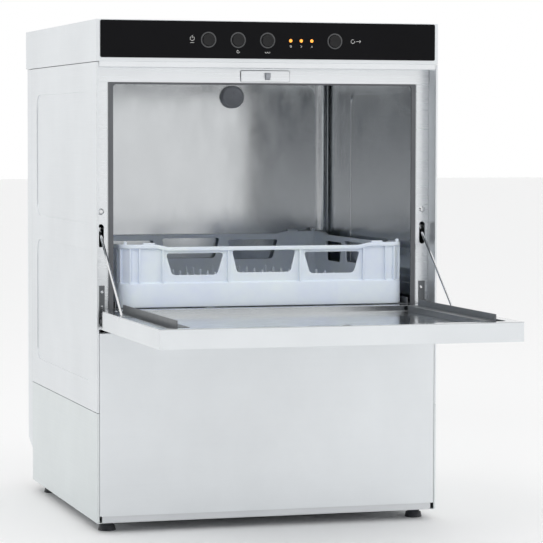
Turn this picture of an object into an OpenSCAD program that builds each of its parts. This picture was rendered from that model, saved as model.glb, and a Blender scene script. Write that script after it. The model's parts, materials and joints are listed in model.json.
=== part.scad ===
// Front-loading under-counter glass washer: a stainless steel body round a
// square wash chamber, a drop-down door on two hinges and two sprung stay rods,
// a push-button panel, and a square plastic basket that slides out over the door.
// +Z is up and the front faces -Y. The origin is the middle of the floor that
// the machine takes up with its door open. All sizes are in millimetres.

/* [Basket] */
// Width of the basket, which sets the width of the machine
basket_w = 500; // [400:10:600]
// Depth of the basket, which sets the depth of the machine
basket_d = 500; // [400:10:600]
// Height of the basket
basket_h = 106; // [80:1:130]
// Height of the basket's wide lower band
basket_band_h = 41; // [25:1:50]
// Wall thickness of the basket
basket_wall = 3; // [2:0.5:5]
// Height of the pegs on the basket's floor
peg_h = 46; // [20:1:60]
// Distance between the rows of pegs
peg_pitch = 52; // [40:1:80]

/* [Body] */
// Height from the floor to the underside of the body
foot_h = 17.5; // [15:0.5:40]
// Height of the machine room below the door
room_h = 315.5; // [300:0.5:420]
// Height of the control housing on top
housing_h = 69; // [55:1:90]
// Thickness of the folded side panels' front edge
side_t = 3.5; // [3:0.5:8]
// Thickness of the sheet steel
sheet = 1.2; // [0.8:0.1:1.5]
// Space between the wash chamber's wall and a side panel
side_cavity = 24; // [22:1:40]
// Depth of the hose channel behind the body
rear_channel = 55; // [40:1:80]
// Height of the separate lower side covers
lower_cover_h = 183; // [120:1:220]

/* [Door] */
// Height of the closed door
door_h = 428; // [340:1:520]
// Thickness of the door
door_t = 31; // [26:1:40]
// Gap between the door and each side panel
door_gap = 1.5; // [1:0.5:3]
// Depth of the dish pressed in the door's inner face
liner_drop = 9.5; // [6:0.5:14]
// Height of the basket rails
rail_h = 20; // [12:1:22]
// Radius of the hinge pins
pin_r = 4; // [3:0.5:5]
// Radius of the stay rods
stay_r = 2.25; // [1.5:0.25:3]

/* [Controls] */
// Radius of the push buttons
button_r = 10.4; // [7:0.1:12]
// How far a push button goes in
button_travel = 2.5; // [1:0.5:4]

/* [Wash system] */
// Reach of the wash arm from its spindle
wash_arm_r = 225; // [150:5:235]
// Reach of the rinse arm from its spindle
rinse_arm_r = 205; // [140:5:235]
// Radius of the arm spindle
spindle_r = 6; // [5:0.5:9]
// Radius of the boiler
boiler_r = 60; // [45:1:65]
// Radius of the wash pump's motor
motor_r = 43; // [35:1:50]

/* [Hidden] */
$fn = 48;

// Fits and gaps
run_gap = 0.05;      // radial clearance of a pin that turns
slide_gap = 0.5;     // gap under and round a piece that slides
basket_side_gap = 6.5;
rail_t = 2;
rail_ledge = 18.5;
field_depth = 1.5;   // how deep the fields in the outer panels are pressed
wall_press = 1.2;    // and those in the wash chamber's walls
tray_inset = 5;      // from the side panels' inner face to the base tray
stem_r = 5;
foot_r = 15;

// Across the machine, as distances from its middle
rail_in = basket_w / 2 + basket_side_gap;
tub_t = 1.5;
tub_corner = 20;
tub_x = rail_in + rail_t + 11.5;
side_x = tub_x + side_cavity;
body_x = side_x + side_t;
door_x = side_x - door_gap;
stay_x = side_x - 11;

// From the floor up
panel_z0 = foot_h + 11.5;
room_z = foot_h + room_h;
door_z0 = room_z + 9;
hinge_y = 12;
hinge_z = door_z0 + 10;
skin_z = hinge_z - hinge_y;
flange_z = skin_z + door_t;
liner_z = flange_z - liner_drop;
basket_z = flange_z + slide_gap;
door_z1 = door_z0 + door_h;
mouth_z0 = liner_z - 4.5;
mouth_z1 = door_z1 - 22.5;
strip_z = door_z1 + 2;
housing_z = strip_z + 9;
body_h = housing_z + housing_h;
tub_floor = room_z - 33;
tub_top = mouth_z1 + 9.5;
cover_z = foot_h + lower_cover_h;

// From the front back
door_end_y = hinge_y + hinge_z - door_z0;
door_free_y = hinge_y - (door_z1 - hinge_z);
frame_y = door_t + 4;
basket_y = frame_y - 2;
tub_back = basket_y + basket_d + 4;
side_y = tub_back + 13;
body_d = side_y + rear_channel;
origin_y = -(door_free_y + body_d) / 2;

// Basket
basket_mid_y = basket_y + basket_d / 2;
basket_foot_z = basket_z + basket_band_h;
basket_rim_z = basket_z + basket_h - 8;
basket_setback = 5;
basket_corner = 26;
cells = [round((basket_w - 40) / peg_pitch), round((basket_d - 40) / peg_pitch)];
cell = [(basket_w - 40) / cells[0], (basket_d - 40) / cells[1]];

// Wash system
arm_y = (frame_y + tub_back) / 2;
sump_x = 190;
sump_y0 = arm_y - 172;
sump_y1 = arm_y + 172;
sump_z = tub_floor - 110;
riser_r = 16;
wash_arm_z = basket_z - 38;
rinse_arm_z = wash_arm_z + 19;
drain_x = 140;
drain_y = arm_y + 115;
drain_r = 20;
plug_gap = 0.6;
overflow_r = 16;
drain_z = foot_h + 32;
spigot_r = 16;
pump_x = 90;
pump_y = arm_y - 76;
pump_z = foot_h + 88;
volute_r = 54;
boiler_x = -(sump_x + 22);
boiler_y0 = arm_y - 165;
boiler_y1 = arm_y + 115;
boiler_z = foot_h + boiler_r + 26;
inlet_x = -(sump_x + 45);
inlet_z = foot_h + 45;
inlet_r = 13.2;
neck_step = 0.8;
suction_r = 17;
suction_x = 40;
filter_t = 1.5;
heater_r = 4;
heater_bend = 26;
heater_x = -90;
heater_xs = [heater_x - heater_bend, heater_x + heater_bend];
heater_z = sump_z + 22;
gland_x = sump_x + 34;
gland_z = foot_h + 45;
cable_r = 5;

// Controls
fascia_t = 1.5;
fascia_x = body_x - 6;
fascia_z0 = housing_z + 6.3;
fascia_z1 = body_h - 1.3;
control_z = (fascia_z0 + fascia_z1) / 2;
button_pitch = 52;
button_xs = [-108, -57, -6, 112];
lamp_xs = [34.5, 53, 71.5];
lamp_r = 2.8;
ring_r = 13.2;
button_gap = 0.5;
board_y = 20;

// Latch
latch_x = 4;
latch_w = 8;
latch_h = 11;
latch_z = mouth_z1 + 11.5;
latch_guide = 0.3;
latch_travel = 6;
latch_reach = 9;     // how far the tongue stands out of the header
latch_nose = 6;      // size of the bevel under its tip
latch_box = 3.5;     // wall of its guide box
latch_back = 2;      // back wall of the box
latch_spare = 1;     // room behind the tongue when it is pushed right in
latch_room = 2.5;    // room round it in the door's catch hole
latch_drop = 1;      // and below it, where the door's dish is near
catch_w = 85;
catch_h = 18.4;
catch_gap = 0.8;
catch_rise = 3.3;
latch_depth = 37;

// Air vent, high on the chamber's back wall
vent_x = 83;
vent_r = 21;
vent_z = tub_top - vent_r - 5;
vent_l = 14;

// Stay rods: where the rod is pinned to the door, its slope with the door open,
// and its length along the rod
stay_y = -125;
stay_z = flange_z - 5;
stay_slot_z = hinge_z + (hinge_y - stay_y) + 4;
stay_angle = atan2(stay_slot_z - stay_z, frame_y - stay_y);
stay_slot_h = 38;
stay_slot_w = 10;
stay_to_slot = norm([frame_y - stay_y, stay_slot_z - stay_z]);
stay_len = stay_to_slot + 46;
stay_pin_r = 3;
stay_eye_r = 6.5;
stay_eye_w = 5;
spring_r = 7;
spring_z = stay_z + stay_len * sin(stay_angle);
spring_y0 = stay_y + stay_len * cos(stay_angle) + 4;

// Hinge ear, which stands in a notch at each corner of the door
ear_x0 = door_x - 7.5;
ear_t = 3;
block_w = 14;

// A piece in its colour, moved from the body's front plane to the origin
module piece(colour) {
    color(colour) translate([0, origin_y, 0]) children();
}

// A block between two corners
module block(a, b) {
    translate(a) cube(b - a);
}

// A block and its mirror image on the other side
module both_blocks(a, b) {
    both_sides() block(a, b);
}

module both_sides() {
    children();
    mirror([1, 0, 0]) children();
}

// Cylinders along X and Y, from a start point
module along_x(p, r, l) {
    translate(p) rotate([0, 90, 0]) cylinder(r = r, h = l);
}

module along_y(p, r, l) {
    translate(p) rotate([-90, 0, 0]) cylinder(r = r, h = l);
}

module along_z(p, r, l) {
    translate(p) cylinder(r = r, h = l);
}

// A flat rectangle with round corners
module soft_rect(x0, y0, x1, y1, r) {
    translate([x0 + r, y0]) square([x1 - x0 - 2 * r, y1 - y0]);
    translate([x0, y0 + r]) square([x1 - x0, y1 - y0 - 2 * r]);
    for (x = [x0 + r, x1 - r], y = [y0 + r, y1 - r]) translate([x, y]) circle(r);
}

// The same rectangle standing up, facing the front, from y0 to y1
module front_plate(x0, z0, x1, z1, r, y0, y1) {
    translate([0, y1, 0]) rotate([90, 0, 0]) linear_extrude(y1 - y0)
        soft_rect(x0, z0, x1, z1, r);
}

// The same rectangle standing up, facing the side, from x0 to x1
module side_plate(y0, z0, y1, z1, r, x0, x1) {
    translate([x0, 0, 0]) rotate([90, 0, 90]) linear_extrude(x1 - x0)
        soft_rect(y0, z0, y1, z1, r);
}

// The same rectangle lying flat, from z0 to z1
module flat_plate(x0, y0, x1, y1, r, z0, z1) {
    translate([0, 0, z0]) linear_extrude(z1 - z0) soft_rect(x0, y0, x1, y1, r);
}

// --- Body ---

// Folded tray that everything stands on
module base_tray() {
    x = side_x - tray_inset;
    skirt_z = foot_h + 42;
    piece("lightgray") difference() {
        block([-x, 2, foot_h], [x, side_y - 2, skirt_z]);
        block([-x + tub_t, 2 + tub_t, foot_h + tub_t], [x - tub_t, side_y - 2 - tub_t, skirt_z + 1]);
        for (p = foot_places()) along_z([p[0], p[1], foot_h - 1], stem_r, 4);
        for (p = rear_ports()) along_y([p[0], side_y - 5, p[1]], p[2], 6);
    }
}

function foot_places() = [
    for (x = [-1, 1], y = [42, side_y - 52]) [x * (side_x - 22), y]
];

// Holes through the rear: drain, water inlet and mains cable, as x, z, radius
function rear_ports() = [
    [drain_x, drain_z, spigot_r - neck_step / 2],
    [inlet_x, inlet_z, inlet_r - neck_step / 2],
    [gland_x, gland_z, 9]
];

// Four screw-in feet
module levelling_feet() {
    piece([0.16, 0.17, 0.19]) for (p = foot_places()) translate([p[0], p[1], 0]) {
        cylinder(r1 = foot_r, r2 = foot_r - 2, h = 9);
        translate([0, 0, 9]) cylinder(r = foot_r - 4.5, h = foot_h - 9);
        translate([0, 0, foot_h]) cylinder(r = stem_r, h = 22);
        translate([0, 0, foot_h + tub_t]) cylinder(r = 9, h = 5, $fn = 6);
    }
}

// A folded sheet down one side, with its front edge turned in and back
module side_sheet(z0, z1, return_y) {
    block([body_x - sheet, 0, z0], [body_x, side_y, z1]);
    block([side_x, 0, z0], [body_x, sheet, z1]);
    block([side_x, 0, z0], [side_x + sheet, return_y, z1]);
    block([side_x - 15, side_y - sheet, z0], [body_x, side_y, z1]);
}

// The two fields pressed in a side panel, as y0, z0, y1, z1
function side_fields() =
    let (z0 = cover_z + 0.8, z1 = housing_z - 1, gap = (z1 - z0) / 12)
    [
        [45, z0 + gap, side_y - 46, z0 + (z1 - z0) / 2 - 0.45 * gap],
        [45, z0 + (z1 - z0) / 2 + 0.45 * gap, side_y - 46, z1 - gap]
    ];

module side_panel() {
    difference() {
        union() {
            side_sheet(cover_z + 0.8, housing_z - 1, frame_y);
            for (f = side_fields())
                side_plate(f[0] - sheet, f[1] - sheet, f[2] + sheet, f[3] + sheet, 26,
                    body_x - sheet - field_depth, body_x - sheet / 2);
        }
        for (f = side_fields())
            side_plate(f[0], f[1], f[2], f[3], 25, body_x - field_depth, body_x + 1);
    }
}

module left_side_panel() {
    piece("gainsboro") mirror([1, 0, 0]) side_panel();
}

module right_side_panel() {
    piece("gainsboro") side_panel();
}

// Plain cover below the side panel, with a bottom fold that stops short of the tray
module lower_cover() {
    side_sheet(foot_h, cover_z, 20);
    block([side_x - tray_inset + 0.5, 0, foot_h], [body_x, side_y, foot_h + sheet]);
}

module left_lower_cover() {
    piece("lightgray") mirror([1, 0, 0]) lower_cover();
}

module right_lower_cover() {
    piece("lightgray") lower_cover();
}

// Flat sheet that closes the back, with a port for each connection
module rear_panel() {
    piece("silver") difference() {
        block([-body_x, side_y, foot_h], [body_x, side_y + sheet, housing_z - 1]);
        for (p = rear_ports()) along_y([p[0], side_y - 1, p[1]], p[2], sheet + 2);
    }
}

// Deep cover over the hose channel, with a slanted open foot
module rear_cover() {
    x = body_x - 2.5;
    z0 = foot_h + 52;
    z1 = housing_z - 1;
    y0 = side_y + sheet;
    piece("gainsboro") difference() {
        channel_block(x, y0, body_d - 1, z0, z1);
        channel_block(x - sheet, y0 - 1, body_d - 1 - sheet, z0 - 1, z1 - sheet);
    }
}

module channel_block(x, y0, y1, z0, z1) {
    translate([-x, 0, 0]) rotate([90, 0, 90]) linear_extrude(2 * x)
        polygon([[y0, z0], [y1, z0 + 22], [y1, z1], [y0, z1]]);
}

// Flat panel below the door, with folded edges
module lower_front_panel() {
    x = side_x - 0.5;
    piece("gainsboro") {
        block([-x, 0, panel_z0], [x, sheet, room_z]);
        block([-x, 0, room_z - sheet], [x, 24, room_z]);
        both_blocks([x - sheet, 0, panel_z0], [x, 14, room_z]);
    }
}

// Box on top, open below, with a window for the control panel
module top_housing() {
    piece("gainsboro") difference() {
        block([-body_x, 0, housing_z], [body_x, body_d, body_h]);
        block([-body_x + sheet, sheet, housing_z - 1], [body_x - sheet, body_d - sheet, body_h - sheet]);
        block([-fascia_x + 4, -1, fascia_z0 + 4], [fascia_x - 4, 2, fascia_z1 - 4]);
    }
}

// --- Controls ---

module control_fascia() {
    piece([0.04, 0.04, 0.05]) difference() {
        front_plate(-fascia_x, fascia_z0, fascia_x, fascia_z1, 3, -fascia_t, 0);
        for (x = button_xs) along_y([x, -fascia_t - 1, control_z], button_r + button_gap, fascia_t + 2);
        for (x = lamp_xs) along_y([x, -fascia_t - 1, control_z], lamp_r, fascia_t + 2);
    }
}

module button_rings() {
    piece("gray") for (x = button_xs) difference() {
        along_y([x, -fascia_t - 0.8, control_z], ring_r, 0.8);
        along_y([x, -fascia_t - 1, control_z], button_r + button_gap, 2);
    }
}

module push_button(n) {
    x = button_xs[n];
    piece([0.1, 0.1, 0.11]) {
        along_y([x, -fascia_t - 3, control_z], button_r, fascia_t + 5);
        along_y([x, 2, control_z], button_r + 2.5, 1.5);
        along_y([x, 3.5, control_z], 3, board_y - button_travel - 8.5);
    }
}

module power_button() {
    push_button(0);
}

module short_cycle_button() {
    push_button(1);
}

module long_cycle_button() {
    push_button(2);
}

module start_button() {
    push_button(3);
}

module indicator_lenses() {
    piece("orange") for (x = lamp_xs) along_y([x, -fascia_t - 0.5, control_z], lamp_r, board_y - 1);
}

// Circuit board with a switch behind each button and a relay row above
module control_board() {
    x = button_xs[3] + 30;
    piece("darkgreen") {
        block([-x, board_y, control_z - 24], [x, board_y + 1.6, control_z + 24]);
        for (b = button_xs)
            block([b - 6, board_y - 4, control_z - 6], [b + 6, board_y, control_z + 6]);
        for (n = [0 : 3])
            block([-x + 14 + 30 * n, board_y + 1.6, control_z - 10], [-x + 34 + 30 * n, board_y + 19, control_z + 10]);
        both_blocks([x - 14, board_y + 1.6, control_z + 12], [x - 8, board_y + 5, body_h - sheet]);
    }
}

// --- Front frame ---

// Bright strip under the housing, folded back and down over the chamber's mouth
module header_panel() {
    x = side_x - 0.5;
    piece("whitesmoke") difference() {
        union() {
            block([-x, 0, strip_z], [x, sheet, housing_z]);
            block([-x, 0, strip_z], [x, frame_y, strip_z + sheet]);
            block([-x, frame_y - sheet, mouth_z1], [x, frame_y, strip_z + sheet]);
        }
        catch_face(catch_gap, frame_y - sheet - 1, frame_y + 1);
    }
}

// The face of the catch plate, grown all round by a gap, from y0 to y1
module catch_face(gap, y0, y1) {
    front_plate(-catch_w / 2 - gap, latch_z - catch_h / 2 - gap,
        catch_w / 2 + gap, latch_z + catch_h / 2 + gap, 2 + gap, y0, y1);
}

module latch_space(y0, y1, gap) {
    block(
        [latch_x - latch_w / 2 - gap, y0, latch_z - latch_h / 2 - gap],
        [latch_x + latch_w / 2 + gap, y1, latch_z + latch_h / 2 + gap]);
}

// Plate that stands in the header's window, and the guide box behind it
module catch_plate() {
    piece("silver") difference() {
        union() {
            catch_face(0, frame_y - catch_rise, frame_y);
            latch_space(frame_y, frame_y + latch_depth, latch_box);
        }
        latch_space(frame_y - latch_reach, frame_y + latch_depth - latch_back, latch_guide);
    }
}

// Sprung tongue that holds the closed door and works its switch
module latch_tongue() {
    back = frame_y + latch_depth - latch_back - latch_travel - latch_spare;
    piece([0.25, 0.26, 0.28]) difference() {
        latch_space(frame_y - latch_reach, back, 0);
        translate([latch_x, frame_y - latch_reach, latch_z - latch_h / 2]) rotate([-45, 0, 0])
            cube([2 * latch_w, latch_nose, latch_nose], center = true);
    }
}

// Upright beside the chamber's mouth, with the slot for a stay rod
module post() {
    z0 = room_z + 3;
    piece("whitesmoke") difference() {
        union() {
            block([tub_x + tub_t, frame_y, z0], [side_x, frame_y + sheet, strip_z]);
            block([side_x - sheet, frame_y, z0], [side_x, frame_y + 25, strip_z]);
        }
        front_plate(stay_x - stay_slot_w / 2, stay_slot_z - stay_slot_h / 2,
            stay_x + stay_slot_w / 2, stay_slot_z + stay_slot_h / 2, stay_slot_w / 2 - 0.01,
            frame_y - 1, frame_y + 3);
    }
}

module left_post() {
    mirror([1, 0, 0]) post();
}

module right_post() {
    post();
}

// Rubber lip round the chamber's mouth
module door_seal() {
    piece([0.25, 0.26, 0.28]) difference() {
        front_plate(-tub_x, mouth_z0, tub_x, mouth_z1, 2, frame_y - 1.8, frame_y + 2);
        front_plate(-tub_x + 8, mouth_z0 + 3, tub_x - 8, mouth_z1 - 3, 6, frame_y - 3, frame_y + 3);
    }
}

// --- Wash chamber ---

// Plan of the chamber: square in front, round at the back corners
module tub_plan(x, y0, y1, r) {
    translate([-x, y0]) square([2 * x, y1 - y0 - r]);
    translate([-x + r, y0]) square([2 * x - 2 * r, y1 - y0]);
    for (s = [-1, 1]) translate([s * (x - r), y1 - r]) circle(r);
}

// The fields pressed outwards in the chamber's two sides and back, grown all
// round by an amount; the wall there runs from one depth to another
module wall_fields(grow, depth0, depth1) {
    z0 = flange_z + 34 - grow;
    both_sides() side_plate(frame_y + 14 - grow, z0, frame_y + 353 + grow, tub_top - 22 + grow,
        15 + grow, tub_x + depth0, tub_x + depth1);
    front_plate(-tub_x + 22 - grow, z0, tub_x - 22 + grow, tub_top - 3 + grow,
        18 + grow, tub_back + depth0, tub_back + depth1);
}

// Welded chamber, open at its mouth and over the sump
module wash_tub() {
    piece("silver") difference() {
        union() {
            translate([0, 0, tub_floor - tub_t]) linear_extrude(tub_top - tub_floor + 2 * tub_t)
                tub_plan(tub_x + tub_t, frame_y, tub_back + tub_t, tub_corner + tub_t);
            wall_fields(tub_t, tub_t / 2, tub_t + wall_press);
        }
        translate([0, 0, tub_floor]) linear_extrude(tub_top - tub_floor)
            tub_plan(tub_x, frame_y + tub_t, tub_back, tub_corner);
        wall_fields(0, -1, wall_press);
        block([-tub_x, frame_y - 1, mouth_z0], [tub_x, frame_y + 5, mouth_z1]);
        flat_plate(-sump_x + 12, sump_y0 + 12, sump_x - 12, sump_y1 - 12, 20, tub_floor - 5, tub_floor + 1);
        latch_space(frame_y - 1, frame_y + latch_depth, latch_box);
        along_y([vent_x, tub_back - 1, vent_z], vent_r - 8, 5);
    }
}

// Round plastic cap of the air vent, high on the back wall
module vent_cap() {
    y = tub_back + wall_press;
    piece("dimgray") {
        along_y([vent_x, y - vent_l, vent_z], vent_r, vent_l);
        along_y([vent_x, y, vent_z], vent_r - 8, 8);
    }
}

// A rail of bent sheet: a ledge level with the door's flange for the basket to
// slide on, a leg under its inner edge and a guide that stands up outside it
module rail(y0, y1, ledge_x1) {
    x0 = rail_in - rail_ledge;
    block([x0, y0, flange_z - rail_t], [ledge_x1, y1, flange_z]);
    block([x0, y0, liner_z], [x0 + rail_t, y1, flange_z]);
    block([rail_in, y0, liner_z], [rail_in + rail_t, y1, liner_z + rail_h]);
}

module chamber_rails() {
    piece("dimgray") both_sides() rail(frame_y + 3, tub_back - tub_corner - 2, tub_x);
}

// Water tank below the chamber's floor
module sump_tank() {
    piece("silver") difference() {
        flat_plate(-sump_x, sump_y0, sump_x, sump_y1, 30, sump_z, tub_floor - tub_t);
        flat_plate(-sump_x + tub_t, sump_y0 + tub_t, sump_x - tub_t, sump_y1 - tub_t, 30 - tub_t,
            sump_z + tub_t, tub_floor);
        along_z([0, arm_y, sump_z - 1], riser_r, 4);
        along_z([drain_x, drain_y, sump_z - 1], drain_r, 4);
        along_z([suction_x, pump_y, sump_z - 1], suction_r, 4);
        for (x = heater_xs) along_y([x, sump_y0 - 1, heater_z], heater_r, 4);
    }
}

// Punched plate that keeps scraps out of the sump
module tank_filter() {
    x = sump_x - 4;
    step = 24;
    piece("lightsteelblue") difference() {
        flat_plate(-x, sump_y0 + 4, x, sump_y1 - 4, 18, tub_floor, tub_floor + filter_t);
        along_z([0, arm_y, tub_floor - 1], riser_r + 1, 4);
        along_z([drain_x, drain_y, tub_floor - 1], overflow_r + 3, 4);
        for (i = [-6 : 6], j = [-5 : 5])
            if (norm([i * step, j * step]) > riser_r + 14
                && norm([i * step - drain_x, arm_y + j * step - drain_y]) > overflow_r + 14)
                along_z([i * step, arm_y + j * step, tub_floor - 1], 4, 4);
    }
}

// Stand pipe that sets the water level and is lifted to drain the tank
module overflow_pipe() {
    top = tub_floor + 1;
    piece("darkslategray") translate([drain_x, drain_y, 0]) difference() {
        union() {
            along_z([0, 0, sump_z - 8], drain_r - plug_gap, 20);
            along_z([0, 0, sump_z], overflow_r, top - sump_z);
        }
        along_z([0, 0, sump_z - 9], overflow_r - 3, top - sump_z - 6);
        along_z([0, 0, top - 16], overflow_r - 3, 20);
        along_x([-overflow_r - 1, 0, top - 12], 4, 2 * overflow_r + 2);
    }
}

// Drain from the sump down and out at the back
module drain_pipe() {
    wall = 2.5;
    piece("dimgray") difference() {
        union() {
            along_z([drain_x, drain_y, drain_z], drain_r + wall, sump_z - drain_z);
            translate([drain_x, drain_y, drain_z]) sphere(drain_r + wall);
            along_y([drain_x, drain_y, drain_z], spigot_r - neck_step, side_y + 5 - drain_y);
            along_y([drain_x, side_y + 4, drain_z], spigot_r, rear_channel - 16);
            along_z([drain_x, drain_y, sump_z - 4], drain_r + 10, 4);
        }
        along_z([drain_x, drain_y, drain_z], drain_r, sump_z - drain_z + 1);
        along_y([drain_x, drain_y, drain_z], spigot_r - wall, body_d);
    }
}

// A tube bent back on itself: two legs along Y and a half turn where they meet
module hairpin(p, bend, leg) {
    for (s = [-1, 1]) along_y([p[0] + s * bend, p[1] - leg, p[2]], heater_r, leg);
    translate(p) rotate_extrude(angle = 180) translate([bend, 0]) circle(heater_r);
}

// Bent heating tube near the sump's floor, on a flange at the front
module tank_heater() {
    y1 = arm_y + 60;
    piece("darkgray") {
        hairpin([heater_x, y1, heater_z], heater_bend, y1 - sump_y0 + 16);
        front_plate(heater_xs[0] - 12, heater_z - 12, heater_xs[1] + 12, heater_z + 12, 8, sump_y0 - 4, sump_y0);
    }
}

// Fixed riser in the middle of the chamber, with the spindle that both arms turn on
module arm_spindle() {
    piece("darkgray") translate([0, arm_y, 0]) {
        along_z([0, 0, sump_z - 12], riser_r + 8, 12);
        along_z([0, 0, sump_z], riser_r, wash_arm_z - 8 - sump_z);
        along_z([0, 0, wash_arm_z - 8], riser_r + 6, 7);
        along_z([0, 0, wash_arm_z - 1], spindle_r, rinse_arm_z + 9.5 - wash_arm_z);
        along_z([0, 0, rinse_arm_z + 8.5], spindle_r + 5, 5);
    }
}

// Long two-armed tube with slanted jets along its top
module wash_arm() {
    h = 16;
    piece("lightgray") translate([0, arm_y, wash_arm_z]) difference() {
        union() {
            flat_plate(-wash_arm_r, -15, wash_arm_r, 15, 14.9, 0, h);
            along_z([0, 0, 0], 26, h + 1.5);
        }
        along_z([0, 0, -1], spindle_r + run_gap, h + 4);
        for (s = [-1, 1], n = [0 : 4])
            translate([s * (52 + n * (wash_arm_r - 75) / 4), s * 4, h - 4]) cylinder(r = 3, h = 5);
    }
}

// Thin two-armed tube above the wash arm
module rinse_arm() {
    piece("silver") translate([0, arm_y, rinse_arm_z]) difference() {
        union() {
            rotate([0, 0, 60]) along_x([-rinse_arm_r, 0, 4], 4, 2 * rinse_arm_r);
            along_z([0, 0, 0], 14, 8);
        }
        along_z([0, 0, -1], spindle_r + run_gap, 10);
    }
}

// --- Machine room ---

module pump_volute() {
    piece([0.3, 0.3, 0.33]) {
        along_x([pump_x - 22, pump_y, pump_z], volute_r, 44);
        along_y([pump_x, pump_y, pump_z + 30], 15, arm_y - pump_y);
        block([pump_x - 16, pump_y - 30, foot_h + tub_t], [pump_x + 16, pump_y + 30, pump_z - 30]);
    }
}

module pump_motor() {
    l = 130;
    x0 = pump_x + 22;
    piece("steelblue") {
        along_x([x0, pump_y, pump_z], motor_r, l);
        along_x([x0 + l, pump_y, pump_z], motor_r - 10, 14);
        block([x0 + 20, pump_y - 30, foot_h + tub_t], [x0 + l - 20, pump_y + 30, pump_z - 20]);
        along_y([x0 + l / 2, pump_y - motor_r - 26, pump_z], 17, 30);
    }
}

module suction_elbow() {
    piece([0.15, 0.15, 0.16]) {
        along_z([suction_x, pump_y, pump_z], suction_r, sump_z + tub_t - pump_z);
        translate([suction_x, pump_y, pump_z]) sphere(suction_r);
        along_x([suction_x, pump_y, pump_z], suction_r, pump_x - 22 - suction_x);
    }
}

module delivery_pipe() {
    z = pump_z + 30;
    piece([0.15, 0.15, 0.16]) difference() {
        union() {
            along_x([0, arm_y, z], 15, pump_x + 15);
            translate([0, arm_y, z]) sphere(15);
            along_z([0, arm_y, z], 15, sump_z - 12 - z);
        }
        along_y([pump_x, pump_y, z], 15, arm_y - pump_y);
    }
}

module boiler() {
    piece("silver") {
        difference() {
            along_y([boiler_x, boiler_y0, boiler_z], boiler_r, boiler_y1 - boiler_y0);
            along_y([boiler_x, boiler_y0 - 1, boiler_z], boiler_r - 2, boiler_y1 - boiler_y0 - 1);
        }
        for (y = [boiler_y0 + 40, boiler_y1 - 60]) difference() {
            block([boiler_x - 35, y, foot_h + tub_t], [boiler_x + 35, y + 20, boiler_z]);
            along_y([boiler_x, y - 1, boiler_z], boiler_r - 1, 22);
        }
    }
}

// Front flange of the boiler with its two heating loops
module boiler_element() {
    piece("darkgray") {
        along_y([boiler_x, boiler_y0 - 4, boiler_z], boiler_r + 4, 4);
        for (z = [-16, 16]) hairpin([boiler_x, boiler_y1 - 50, boiler_z + z], 18, boiler_y1 - boiler_y0 - 32);
    }
}

module inlet_valve() {
    y0 = side_y - 60;
    piece("white") {
        block([inlet_x - 16, y0, inlet_z - 18], [inlet_x + 16, side_y - 5, inlet_z + 18]);
        along_y([inlet_x, side_y - 5, inlet_z], inlet_r - neck_step, 10);
        along_y([inlet_x, side_y + 4, inlet_z], inlet_r, 28);
        along_z([inlet_x, y0 + 20, inlet_z + 18], 15, 36);
    }
}

module fill_hose() {
    piece([0.75, 0.75, 0.72]) along_y([inlet_x, boiler_y1, inlet_z], 7, side_y - 60 - boiler_y1);
}

module rinse_hose() {
    x0 = boiler_x + boiler_r - 1;
    y = arm_y + 20;
    piece([0.75, 0.75, 0.72]) difference() {
        union() {
            along_x([x0, y, boiler_z], 6, -x0);
            translate([0, y, boiler_z]) sphere(6);
            along_z([0, y, boiler_z], 6, sump_z - 12 - boiler_z);
        }
        along_y([boiler_x, boiler_y0, boiler_z], boiler_r, boiler_y1 - boiler_y0);
        delivery_cut();
    }
}

module delivery_cut() {
    along_z([0, arm_y, pump_z], 15, sump_z - pump_z);
    along_x([-1, arm_y, pump_z + 30], 15, 40);
}

module pressure_switch() {
    x = sump_x + 48;
    piece("ivory") {
        along_z([x, sump_y1, foot_h + tub_t], 5, 70);
        along_z([x, sump_y1, foot_h + tub_t + 70], 24, 16);
        along_z([x, sump_y1, foot_h + tub_t + 86], 18, 10);
    }
}

module rinse_aid_pump() {
    x = sump_x + 45;
    piece("lightslategray") {
        block([x - 30, 50, foot_h + tub_t], [x + 30, 90, foot_h + 75]);
        along_y([x, 34, foot_h + 42], 24, 16);
        along_y([x, 28, foot_h + 42], 8, 6);
    }
}

module cable_gland() {
    piece([0.12, 0.12, 0.13]) difference() {
        union() {
            along_y([gland_x, side_y - 12, gland_z], 9, 30);
            translate([gland_x, side_y + sheet, gland_z]) rotate([-90, 0, 0]) cylinder(r = 13, h = 7, $fn = 6);
            along_y([gland_x, side_y + sheet + 7, gland_z], 11, 12);
        }
        along_y([gland_x, side_y - 13, gland_z], cable_r, 50);
    }
}

module terminal_block() {
    piece("beige") {
        block([gland_x - 30, side_y - 72, foot_h + tub_t], [gland_x + 30, side_y - 26, foot_h + 24]);
        for (n = [0 : 4])
            block([gland_x - 28 + 11.5 * n, side_y - 66, foot_h + 24], [gland_x - 18 + 11.5 * n, side_y - 32, foot_h + 36]);
    }
}

// --- Door, drawn open ---

// Notches at the hinge corners, where the fixed ears stand
module ear_notches() {
    both_blocks([ear_x0 - 1.5, hinge_y - 30, skin_z - 1], [door_x + 1, door_end_y + 1, flange_z + 1]);
}

module door_outer_panel() {
    piece("gainsboro") difference() {
        block([-door_x, door_free_y, skin_z], [door_x, door_end_y, flange_z - sheet]);
        block([-door_x + sheet, door_free_y + sheet, skin_z + sheet], [door_x - sheet, door_end_y - sheet, flange_z]);
        ear_notches();
        both_sides() along_x([door_x - 5, stay_y, stay_z], stay_pin_r, 10);
    }
}

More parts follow.
